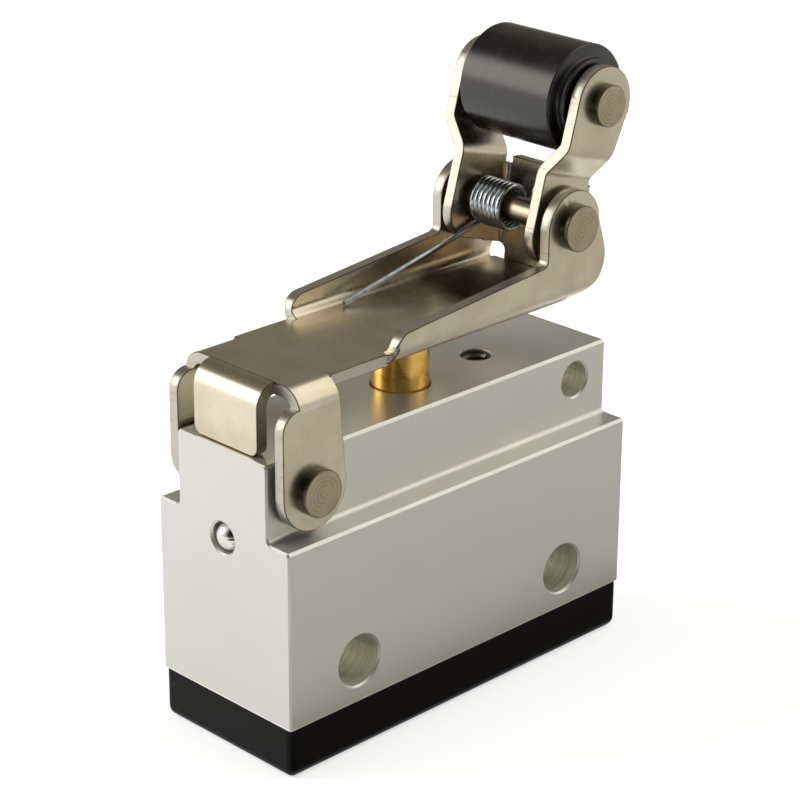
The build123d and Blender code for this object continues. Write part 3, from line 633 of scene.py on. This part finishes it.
@dataclass
class Workshop:
    """Turns bmeshes into finished pieces and keeps the finishes' materials."""

    nodes: dict[str, bpy.types.Object]
    materials: dict[str, bpy.types.Material] = field(default_factory=dict)
    smooth_angle: float = math.radians(32)
    sheet: float = 1.0 * MM
    probe_start: float = 0.01
    probe_reach: float = 1.2
    facing_back: float = -0.9
    sheet_slack: float = 0.07

    def material(self, finish: Finish, key: str = "") -> bpy.types.Material:
        """A finish's material, built once for each key.

        Args:
            finish: the finish.
            key: tells apart materials that share a slot, such as rings round different pins.

        Returns:
            The material.
        """
        name = finish.slot.value + key
        if name not in self.materials:
            self.materials[name] = finish.material(name)
        return self.materials[name]

    def copy_node(self, node: str) -> bmesh.types.BMesh:
        """A CAD node's mesh as a bmesh with its doubles merged and its flat triangles joined."""
        mesh = bmesh.new()
        mesh.from_mesh(self.nodes[node].data)
        bmesh.ops.remove_doubles(mesh, verts=mesh.verts, dist=MERGE)
        bmesh.ops.dissolve_limit(
            mesh, angle_limit=FLAT, verts=mesh.verts, edges=mesh.edges, delimit={"NORMAL"})
        return mesh

    @staticmethod
    def break_edges(
        mesh: bmesh.types.BMesh, width: float, above: float, segments: int = 2, full: bool = False,
    ) -> list[bmesh.types.BMFace]:
        """Rounds every edge that turns by more than an angle.

        Args:
            mesh: the bmesh.
            width: the width of the rounding, in metres.
            above: the least angle.
            segments: how many steps the rounding has.
            full: rounds only the outer edges, each at its full width.

        Returns:
            The faces of the rounding.
        """
        sharp = [e for e in mesh.edges if e.is_manifold and (e.is_convex or not full)
                 and e.calc_face_angle(0.0) > above]
        made = bmesh.ops.bevel(
            mesh, geom=sharp, offset=width, offset_type="OFFSET", affect="EDGES", segments=segments,
            profile=0.5, material=-1, clamp_overlap=not full, loop_slide=not full)
        return made["faces"]

    def mark_cuts(self, mesh: bmesh.types.BMesh) -> bmesh.types.BMLayerItem:
        """Marks the skin and the cut faces of a folded sheet in the face attribute "cut".

        Args:
            mesh: the bmesh.

        Returns:
            The attribute's layer.
        """
        cut = mesh.faces.layers.float.new("cut")
        tree = BVHTree.FromBMesh(mesh)
        places: dict[bmesh.types.BMFace, tuple[float, Vector]] = {}
        for loops in mesh.calc_loop_triangles():
            first, second, third = (loop.vert.co for loop in loops)
            area = (second - first).cross(third - first).length
            if area > places.get(loops[0].face, (0.0, None))[0]:
                places[loops[0].face] = (area, (first + second + third) / 3)
        whole = 1.0 - self.probe_start
        for face, (_, middle) in places.items():
            start = middle - face.normal * self.sheet * self.probe_start
            _, normal, _, depth = tree.ray_cast(start, -face.normal, self.sheet * self.probe_reach)
            through = (normal is not None and normal.dot(face.normal) < self.facing_back
                       and abs(depth / self.sheet - whole) < self.sheet_slack)
            face[cut] = Mark.SKIN.value if through else Mark.CUT.value
        return cut

    def press_sheet(self, node: str, name: str, body: Body, edge: float) -> None:
        """Builds a folded sheet with its cut edges marked and its outer edges rounded.

        Args:
            node: the CAD node.
            name: the piece's name.
            body: the body that it rides on.
            edge: the width of the rounding.
        """
        mesh = self.copy_node(node)
        cut = self.mark_cuts(mesh)
        for face in self.break_edges(mesh, edge, SHARP, full=True):
            face[cut] = Mark.RIM.value
        self.finish_piece(name, mesh, PlatedSheet(), body, (node,), True)

    def finish_piece(
        self, name: str, mesh: bmesh.types.BMesh, finish: Finish, body: Body | None,
        replaces: tuple[str, ...] = (), weighted: bool = False, key: str = "",
    ) -> bpy.types.Object:
        """Makes an object of a bmesh, dresses it and sets it on its body.

        Args:
            name: the piece's name.
            mesh: its bmesh, in the frame, which is used up.
            finish: its finish, which also gives its slot.
            body: the body that it rides on, or None for no body.
            replaces: the CAD nodes that it stands for.
            weighted: whether large faces set the normals, which keeps them flat beside rounded edges.
            key: tells its material apart from others of its slot.

        Returns:
            The object.
        """
        bmesh.ops.recalc_face_normals(mesh, faces=mesh.faces)
        made = add_mesh(name, mesh)
        made.data.shade_smooth()
        made.data.set_sharp_from_angle(angle=self.smooth_angle)
        made.data.materials.append(self.material(finish, key))
        if weighted:
            modifier = made.modifiers.new("flat_faces", "WEIGHTED_NORMAL")
            modifier.keep_sharp = True
        if body is not None:
            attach(made, body.value)
        if replaces:
            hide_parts(*replaces)
        LOG.info("%s: %d faces", name, len(made.data.polygons))
        return made

    @staticmethod
    def turn(
        centre: Vector, half: list[tuple[float, float]], bored: bool = False, steps: int = 96,
    ) -> bmesh.types.BMesh:
        """Spins a solid round an axis along Y, with both sides of its middle alike.

        Args:
            centre: the solid's middle, at 0 along Y.
            half: (radius, Y) pairs from one end towards the middle.
            bored: joins the ends by a bore, where they otherwise close at the axis.
            steps: how many steps the turn has.

        Returns:
            The solid as a bmesh.
        """
        mesh = bmesh.new()
        profile = half + [(radius, -place) for radius, place in reversed(half)]
        if bored:
            profile.append(half[0])
        base = Vector((centre.x, 0.0, centre.z))
        corners = [mesh.verts.new(base + Vector((radius, place, 0.0))) for radius, place in profile]
        for pair in zip(corners, corners[1:]):
            mesh.edges.new(pair)
        bmesh.ops.spin(
            mesh, geom=mesh.verts[:] + mesh.edges[:], cent=base, axis=Axis.Y.vector,
            angle=FULL_TURN, steps=steps, use_merge=True)
        bmesh.ops.remove_doubles(mesh, verts=mesh.verts, dist=MERGE)
        bmesh.ops.recalc_face_normals(mesh, faces=mesh.faces)
        return mesh

    def dress_node(self, node: str, finish: Finish) -> None:
        """Gives a CAD node that stays in view its finish."""
        data = self.nodes[node].data
        data.materials.clear()
        data.materials.append(self.material(finish))
        LOG.info("%s: CAD node, %s", node, finish.slot.value)


@dataclass
class Housing:
    """The block, its base and what is fixed in them."""

    shop: Workshop
    thread_depth: float = 0.17 * MM
    port_pitch: float = 0.8 * MM
    port_depth: float = 5.0 * MM
    port_radius: float = 2.1 * MM
    top_pitch: float = 0.5 * MM
    top_depth: float = 4.5 * MM
    top_radius: float = 1.25 * MM
    top_along: float = 8.7 * MM
    mouth: float = 0.35 * MM
    ridge_share: float = 0.42
    steps_a_turn: int = 40
    ball_rise: float = 0.33 * MM
    ball_segments: int = 64
    screw_edge: float = 0.06 * MM

    def build(self) -> None:
        """Dresses the block and the base and adds the ball, the screws and the threads."""
        shop = self.shop
        shop.dress_node("valve_body", AnodisedBlock())
        shop.dress_node("base_cover", BlackMoulding())
        shop.dress_node("base_gasket", SEAL_RUBBER)
        self.build_ball()
        self.build_screws()
        self.build_threads()

    def build_ball(self) -> None:
        """The pressed-in ball, as a fine sphere."""
        span = Span.of("passage_ball")
        mesh = bmesh.new()
        place = Matrix.Translation(span.centre - Axis.X.vector * self.ball_rise)
        bmesh.ops.create_uvsphere(
            mesh, u_segments=self.ball_segments, v_segments=self.ball_segments // 2,
            radius=span.size.x / 2, matrix=place)
        self.shop.finish_piece("pressed_ball", mesh, BALL_STEEL, Body.ROOT, ("passage_ball",))

    def build_screws(self) -> None:
        """The base screws, with their edges broken."""
        mesh = self.shop.copy_node("base_screws")
        self.shop.break_edges(mesh, self.screw_edge, SHARP)
        self.shop.finish_piece("socket_screws", mesh, ZINC_STEEL, Body.ROOT, ("base_screws",), True)

    def build_threads(self) -> None:
        """A thread in each port and in the hole on top."""
        block = Span.of("valve_body")
        ports = {
            "supply_thread": (Vector((6.0, 7.5, 7.3)) * MM, Axis.Y),
            "exhaust_thread": (Vector((-6.6, 7.5, 15.95)) * MM, Axis.Y),
            "outlet_thread": (Vector((19.0, 0.0, 13.4)) * MM, Axis.X),
        }
        for name, (start, axis) in ports.items():
            self.build_thread(name, start, axis, self.port_radius, self.port_pitch, self.port_depth)
        top = Vector((self.top_along, 0.0, block.high.z))
        self.build_thread("top_thread", top, Axis.Z, self.top_radius, self.top_pitch, self.top_depth)

    def build_thread(
        self, name: str, start: Vector, axis: Axis, radius: float, pitch: float, depth: float,
    ) -> None:
        """Runs one V-shaped ridge down a bore.

        Args:
            name: the piece's name.
            start: the middle of the bore's mouth.
            axis: the bore's axis, which points out of it.
            radius: the bore's radius.
            pitch: the thread's pitch.
            depth: how deep the thread goes.
        """
        mesh = bmesh.new()
        along = axis.vector
        out = Axis.Z.vector if axis is not Axis.Z else Axis.X.vector
        first = start - along * self.mouth
        half = pitch * self.ridge_share
        section = [(radius, -half), (radius - self.thread_depth, 0.0), (radius, half)]
        corners = [mesh.verts.new(first + out * across - along * (half - place))
                   for across, place in section]
        edges = [mesh.edges.new(pair) for pair in zip(corners, corners[1:] + corners[:1])]
        face = mesh.faces.new(corners)
        turns = (depth - self.mouth) / pitch
        steps = int(turns * self.steps_a_turn)
        bmesh.ops.spin(
            mesh, geom=corners + edges + [face], cent=first, axis=along, angle=FULL_TURN * turns,
            dvec=-along * (pitch * turns / steps), steps=steps)
        bmesh.ops.remove_doubles(mesh, verts=mesh.verts, dist=MERGE)
        self.shop.finish_piece(name, mesh, AnodisedBlock(), Body.ROOT)


@dataclass
class Internals:
    """The valve's inner pieces and the plunger."""

    shop: Workshop
    plunger_travel: float = 1.9 * MM
    poppet_travel: float = 1.4 * MM

    def build(self) -> None:
        """Dresses the inner CAD nodes and the plunger, and adds the two coil springs."""
        for node in ("seat_insert", "poppet", "plunger"):
            self.shop.dress_node(node, TurnedBrass())
        for node in ("seat_ring", "wiper_ring", "land_ring", "poppet_disc"):
            self.shop.dress_node(node, SEAL_RUBBER)
        self.build_spring("return_spring", "lifting_spring")
        self.build_spring("poppet_spring", "closing_spring")

    def build_spring(self, node: str, name: str) -> None:
        """A coil spring, copied from its CAD node onto a mesh of its own.

        Args:
            node: the CAD node.
            name: the piece's name.
        """
        span = Span.of(node)
        made = self.shop.finish_piece(name, self.shop.copy_node(node), PLATED_WIRE, Body.ROOT, (node,))
        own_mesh(made)


@dataclass
class Lever:
    """The pressed lever and its two pins."""

    shop: Workshop
    edge: float = 0.07 * MM
    head_height: float = 0.9 * MM
    pivot_radius: float = 1.5 * MM
    yoke_pin_radius: float = 1.1 * MM

    def build(self) -> None:
        """Rounds the lever's edges and turns its pins."""
        self.shop.press_sheet("lever", "pressed_lever", Body.LEVER, self.edge)
        pins = (
            ("lever_pin", "pivot_pin", self.pivot_radius),
            ("yoke_pin", "hinge_pin", self.yoke_pin_radius),
        )
        for node, name, radius in pins:
            HeadedPin(self.shop, node, name, Body.LEVER, radius, self.head_height).build()


@dataclass
class HeadedPin:
    """A turned pin along Y with a flat head at each end."""

    shop: Workshop
    node: str
    name: str
    body: Body
    shaft_radius: float
    head_height: float
    edge: float = 0.07 * MM

    def build(self) -> None:
        """Turns the pin and rounds its heads."""
        span = Span.of(self.node)
        radius, end = span.size.x / 2, span.size.y / 2
        seat = end - self.head_height
        half = [(0.0, end), (radius, end), (radius, seat), (self.shaft_radius, seat)]
        mesh = self.shop.turn(span.centre, half)
        self.shop.break_edges(mesh, self.edge, SQUARE, 3)
        finish = TurnedSteel(centre=span.centre, head_radius=radius)
        self.shop.finish_piece(self.name, mesh, finish, self.body, (self.node,), True, "_" + self.name)


@dataclass
class Roller:
    """The roller, its axle and the yoke that carries them."""

    shop: Workshop
    edge: float = 0.08 * MM
    axle_radius: float = 1.25 * MM
    axle_head: float = 0.75 * MM
    tread_edge: float = 0.16 * MM
    hub_radius: float = 3.4 * MM
    hub_height: float = 0.7 * MM
    bore_radius: float = 1.28 * MM
    steps: int = 128

    def build(self) -> None:
        """Builds the yoke, the axle and the roller."""
        self.shop.press_sheet("yoke", "pressed_yoke", Body.YOKE, self.edge)
        HeadedPin(self.shop, "roller_axle", "axle", Body.YOKE, self.axle_radius, self.axle_head).build()
        self.build_roller()

    def build_roller(self) -> None:
        """The roller: a broad tread with a low hub on each side."""
        span = Span.of("roller")
        end = span.size.y / 2
        face = end - self.hub_height
        tread = span.size.x / 2
        hub, bore = self.hub_radius, self.bore_radius
        half = [(bore, end), (hub, end), (hub, face), (tread, face)]
        mesh = self.shop.turn(span.centre, half, True, self.steps)
        self.shop.break_edges(mesh, self.tread_edge, SQUARE, 3)
        finish = RollerPlastic(centre=span.centre)
        self.shop.finish_piece("turned_roller", mesh, finish, Body.ROLLER, ("roller",), True)


@dataclass
class TorsionSpring:
    """The spring on the yoke's pin, wound from round wire with two straight legs."""

    shop: Workshop
    wire: float = 0.225 * MM
    coil_radius: float = 1.78 * MM
    pitch: float = 0.475 * MM
    full_turns: int = 7
    short_lean: float = math.radians(25.0)
    short_length: float = 3.3 * MM
    long_reach: float = 15.1 * MM
    long_rise: float = 5.555 * MM
    long_spread: float = 0.9 * MM
    ring_points: int = 20
    steps_a_turn: int = 64
    bend_length: float = 0.8
    tip_length: float = 0.4
    shoulder_place: float = 0.3
    shoulder_size: float = 0.9
    tip_size: float = 0.6

    def build(self) -> None:
        """Winds the spring and draws its two legs."""
        axis = Span.of("yoke_pin").centre
        near = Span.of("torsion_spring").low.y + self.wire
        to_tip = math.hypot(self.long_reach, self.long_rise)
        slope = math.atan2(self.long_rise, self.long_reach) - math.asin(self.coil_radius / to_tip)
        turned = FULL_TURN * self.full_turns + math.pi / 2 - slope - self.short_lean
        height = self.pitch * turned / FULL_TURN
        mesh = bmesh.new()
        ring = self.start_ring(mesh, axis, near)
        steps = int(turned / FULL_TURN * self.steps_a_turn)
        swept = bmesh.ops.spin(
            mesh, geom=ring + self.ring_edges(ring), cent=Vector((axis.x, near, axis.z)),
            axis=Axis.Y.vector, angle=turned, dvec=Axis.Y.vector * (height / steps), steps=steps)
        last = [item for item in swept["geom_last"] if isinstance(item, bmesh.types.BMVert)]
        far = near + height
        tip = Vector((axis.x - self.long_reach, far + self.long_spread, axis.z - self.long_rise))
        self.draw_leg(mesh, last, tip)
        down = Vector((math.sin(self.short_lean), 0.0, math.cos(self.short_lean)))
        self.draw_leg(mesh, ring, self.ring_centre(ring) + down * self.short_length)
        bmesh.ops.remove_doubles(mesh, verts=mesh.verts, dist=MERGE)
        made = self.shop.finish_piece("wound_spring", mesh, PLATED_WIRE, None, ("torsion_spring",))
        start = (0.0, far - self.wire, 0.0)
        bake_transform(made)

    def start_ring(self, mesh: bmesh.types.BMesh, axis: Vector, near: float) -> Ring:
        """The wire's section at the coil's near end.

        Args:
            mesh: the bmesh.
            axis: a point on the coil's axis.
            near: the coil's near end, along Y.

        Returns:
            The section's vertices.
        """
        out = Vector((math.cos(self.short_lean), 0.0, -math.sin(self.short_lean)))
        centre = Vector((axis.x, near, axis.z)) + out * self.coil_radius
        sideways = out.cross(Axis.Y.vector)
        turn = Matrix((out, Axis.Y.vector, sideways)).transposed().to_4x4()
        place = Matrix.Translation(centre) @ turn
        made = bmesh.ops.create_circle(mesh, segments=self.ring_points, radius=self.wire, matrix=place)
        return made["verts"]

    @staticmethod
    def ring_edges(ring: Ring) -> list[bmesh.types.BMEdge]:
        """The edges between a section's vertices."""
        inside = set(ring)
        return list({e for v in ring for e in v.link_edges if e.other_vert(v) in inside})

    @staticmethod
    def ring_centre(ring: Ring) -> Vector:
        """A section's middle."""
        return sum((v.co for v in ring), Vector()) / len(ring)

    def draw_leg(self, mesh: bmesh.types.BMesh, ring: Ring, tip: Vector) -> None:
        """Draws the wire straight from a section to a tip, and closes it with a rounded end.

        Args:
            mesh: the bmesh.
            ring: the section to start from.
            tip: the leg's end.
        """
        centre = self.ring_centre(ring)
        along = (tip - centre).normalized()
        round_end = along * self.wire * self.tip_length
        sections = (
            (centre + along * self.wire * self.bend_length, 1.0),
            (tip - round_end, 1.0),
            (tip - round_end * self.shoulder_place, self.shoulder_size),
            (tip, self.tip_size / self.shoulder_size),
        )
        for place, share in sections:
            ring = self.extrude_to(mesh, ring, place, along, share)
        bmesh.ops.contextual_create(mesh, geom=self.ring_edges(ring))

    def extrude_to(
        self, mesh: bmesh.types.BMesh, ring: Ring, place: Vector, along: Vector, share: float,
    ) -> Ring:
        """Extrudes a section to a place, square to a direction.

        Args:
            mesh: the bmesh.
            ring: the section.
            place: the new section's middle.
            along: the direction that the new section faces.
            share: the new section's size as a share of the old one's.

        Returns:
            The new section's vertices.
        """
        made = bmesh.ops.extrude_edge_only(mesh, edges=self.ring_edges(ring))
        verts = [item for item in made["geom"] if isinstance(item, bmesh.types.BMVert)]
        centre = self.ring_centre(verts)
        facing = self.facing(verts, centre, along)
        turn = facing.rotation_difference(along).to_matrix()
        for vert in verts:
            vert.co = place + turn @ ((vert.co - centre) * share)
        return verts

    @staticmethod
    def facing(ring: Ring, centre: Vector, along: Vector) -> Vector:
        """The direction square to a section, on the side of another direction."""
        first = ring[0].co - centre
        crosses = (first.cross(v.co - centre) for v in ring)
        square = max(crosses, key=lambda normal: normal.length).normalized()
        return square if square.dot(along) > 0 else -square


@dataclass(frozen=True)
class Card:
    """A card that only mirrors see, for the dark and grey places of the photographer's room."""

    name: str
    centre: Vector
    width: float
    depth: float
    paint: Colour
    turn: float = 0.0

    def build(self) -> None:
        """Lays the card on the floor."""
        mesh = bmesh.new()
        place = Matrix.Translation(self.centre) @ Matrix.Rotation(self.turn, 4, "Z")
        sides = Matrix.Diagonal((self.width, self.depth, 1.0, 1.0))
        bmesh.ops.create_grid(mesh, x_segments=1, y_segments=1, size=0.5, matrix=place @ sides)
        card = add_mesh(self.name, mesh)
        made, graph = new_material(self.name)
        glow = graph.node("ShaderNodeEmission", {}, {"Color": self.paint, "Strength": 1.0})
        graph.node("ShaderNodeOutputMaterial", {}, {"Surface": glow})
        card.data.materials.append(made)
        for rays in ("camera", "diffuse", "shadow", "transmission"):
            setattr(card, "visible_" + rays, False)


@dataclass(frozen=True)
class Patch:
    """A part of the room with its own light. Its start and its full place are cosines."""

    towards: Vector
    start: float
    full: float
    paint: Colour


@dataclass(frozen=True)
class Lamp:
    """A square lamp that mirrors don't see."""

    name: str
    place: Vector
    side: float
    watts: float

    def build(self, aim: Vector) -> None:
        """Hangs the lamp and points it at a place."""
        data = bpy.data.lights.new(self.name, "AREA")
        data.shape = "SQUARE"
        data.size = self.side
        data.energy = self.watts
        lamp = add_object(self.name, data)
        lamp.location = self.place
        lamp.rotation_mode = "QUATERNION"
        lamp.rotation_quaternion = (aim - self.place).to_track_quat("-Z", "Y")
        lamp.visible_glossy = False


@dataclass
class Studio:
    """The camera, the floor and the light."""

    azimuth: float = math.radians(-44.7293)
    elevation: float = math.radians(22.4185)
    roll: float = math.radians(-0.2973)
    distance: float = 218.2615 * MM
    aim: Vector = Vector((3.8387 * MM, 3.8758 * MM, 22.0 * MM))
    lens: float = 119.18
    sensor: float = 36.0
    clip: Range = (0.01, 20.0)
    floor_radius: float = 3.0
    floor_sides: int = 96
    floor_glow: float = 0.6
    card_gap: float = 0.02 * MM
    paper: Colour = (0.55, 0.55, 0.55, 1.0)
    room: Colour = (0.60, 0.59, 0.56, 1.0)
    patches: tuple[Patch, ...] = (
        Patch(Vector((0.65, 0.66, 0.42)), 0.62, 0.93, (0.235, 0.225, 0.185, 1.0)),
        Patch(Vector((-0.66, -0.66, 0.35)), 0.6, 0.92, (0.025, 0.022, 0.018, 1.0)),
        Patch(Vector((-0.62, 0.66, 0.45)), 0.72, 0.95, (1.15, 1.12, 1.06, 1.0)),
        Patch(Vector((-0.05, 0.66, 0.75)), 0.86, 0.95, (0.17, 0.15, 0.12, 1.0)),
        Patch(Vector((-0.62, 0.66, 0.32)), 0.93, 0.975, (3.9, 3.7, 3.3, 1.0)),
        Patch(Vector((0.55, -0.22, 0.80)), 0.85, 0.95, (1.5, 1.45, 1.3, 1.0)),
        Patch(Vector((0.65, -0.657, 0.381)), 0.955, 0.985, (1.5, 1.43, 1.2, 1.0)),
    )
    lamps: tuple[Lamp, ...] = (
        Lamp("window", Vector((-0.26, 0.34, 0.30)), 0.26, 1.5),
        Lamp("fill", Vector((0.34, -0.24, 0.32)), 0.22, 0.8),
    )

    def build(self) -> None:
        """Sets up the whole studio."""
        bpy.context.scene.view_settings.view_transform = "Standard"
        self.build_camera()
        self.build_floor()
        self.build_room()
        for lamp in self.lamps:
            lamp.build(self.aim)
        for card in self.cards():
            card.build()

    def build_camera(self) -> None:
        """The camera at the photograph's place."""
        a, e = self.azimuth, self.elevation
        back = Vector((math.sin(a) * math.cos(e), -math.cos(a) * math.cos(e), math.sin(e)))
        data = bpy.data.cameras.new("camera")
        data.lens = self.lens
        data.sensor_width = self.sensor
        data.clip_start, data.clip_end = self.clip
        camera = add_object("camera", data)
        camera.location = self.aim + back * self.distance
        level = (-back).to_track_quat("-Z", "Y")
        turn = Matrix.Rotation(-self.roll, 3, back)
        camera.rotation_mode = "QUATERNION"
        camera.rotation_quaternion = (turn @ level.to_matrix()).to_quaternion()
        bpy.context.scene.camera = camera

    def build_floor(self) -> None:
        """A white floor that keeps the object's soft shadow."""
        mesh = bmesh.new()
        bmesh.ops.create_circle(
            mesh, cap_ends=True, segments=self.floor_sides, radius=self.floor_radius)
        floor = add_mesh("floor", mesh)
        made, graph = new_material("floor")
        strength = self.seen_directly(graph) * self.floor_glow
        glow = graph.node("ShaderNodeEmission", {}, {"Color": WHITE, "Strength": strength})
        paper = graph.node("ShaderNodeBsdfDiffuse", {}, {"Color": self.paper})
        both = graph.node("ShaderNodeAddShader", {}, {0: glow, 1: paper})
        graph.node("ShaderNodeOutputMaterial", {}, {"Surface": both})
        floor.data.materials.append(made)

    @staticmethod
    def seen_directly(graph: Graph) -> Value:
        """1 for a ray from the camera, a mirror or a glass, and 0 for the others."""
        path = graph.node("ShaderNodeLightPath", {}, {}, "Is Camera Ray")
        outputs = path.socket.node.outputs
        glossy = Value(graph, outputs["Is Glossy Ray"])
        through = Value(graph, outputs["Is Transmission Ray"])
        return path.math("MAXIMUM", glossy).math("MAXIMUM", through)

    def build_room(self) -> None:
        """The room round the table, with its windows and its dark walls."""
        world = bpy.data.worlds.new("room")
        bpy.context.scene.world = world
        world.use_nodes = True
        graph = Graph(world.node_tree)
        direction = graph.node("ShaderNodeTexCoord", {}, {}, "Generated")
        colour: Value | Colour = self.room
        for patch in self.patches:
            inputs = {0: direction, 1: patch.towards.normalized()}
            nearness = graph.node("ShaderNodeVectorMath", {"operation": "DOT_PRODUCT"}, inputs, "Value")
            colour = graph.mixed(nearness.ramp(patch.start, patch.full), colour, patch.paint)
        glow = graph.node("ShaderNodeBackground", {}, {"Color": colour, "Strength": 1.0})
        graph.node("ShaderNodeOutputWorld", {}, {"Surface": glow})

    def cards(self) -> list[Card]:
        """The cards: grey at the front right, black on the left, a dark strip by the base."""
        gap = self.card_gap
        grey, pale = (0.56, 0.55, 0.50, 1.0), (0.66, 0.64, 0.57, 1.0)
        black, shade = (0.02, 0.016, 0.011, 1.0), (0.20, 0.18, 0.15, 1.0)
        return [
            Card("grey_card", Vector((0.155, -0.18, gap)), 0.38, 0.34, grey),
            Card("pale_card", Vector((0.155, -0.193, 1.5 * gap)), 0.38, 0.314, pale),
            Card("black_card", Vector((-0.106, -0.107, 2 * gap)), 0.12, 0.18, black, self.azimuth),
            Card("base_shade", Vector((0.0035, -0.0115, 3 * gap)), 0.049, 0.0075, shade),
        ]


def main() -> None:
    """Builds the studio and every piece."""
    logging.basicConfig(level=logging.INFO, format="%(message)s")
    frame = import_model()
    shop = Workshop(frame["nodes"])
    Studio().build()
    for assembly in (Housing, Internals, Lever, Roller, TorsionSpring):
        assembly(shop).build()


if __name__ == "__main__":
    main()
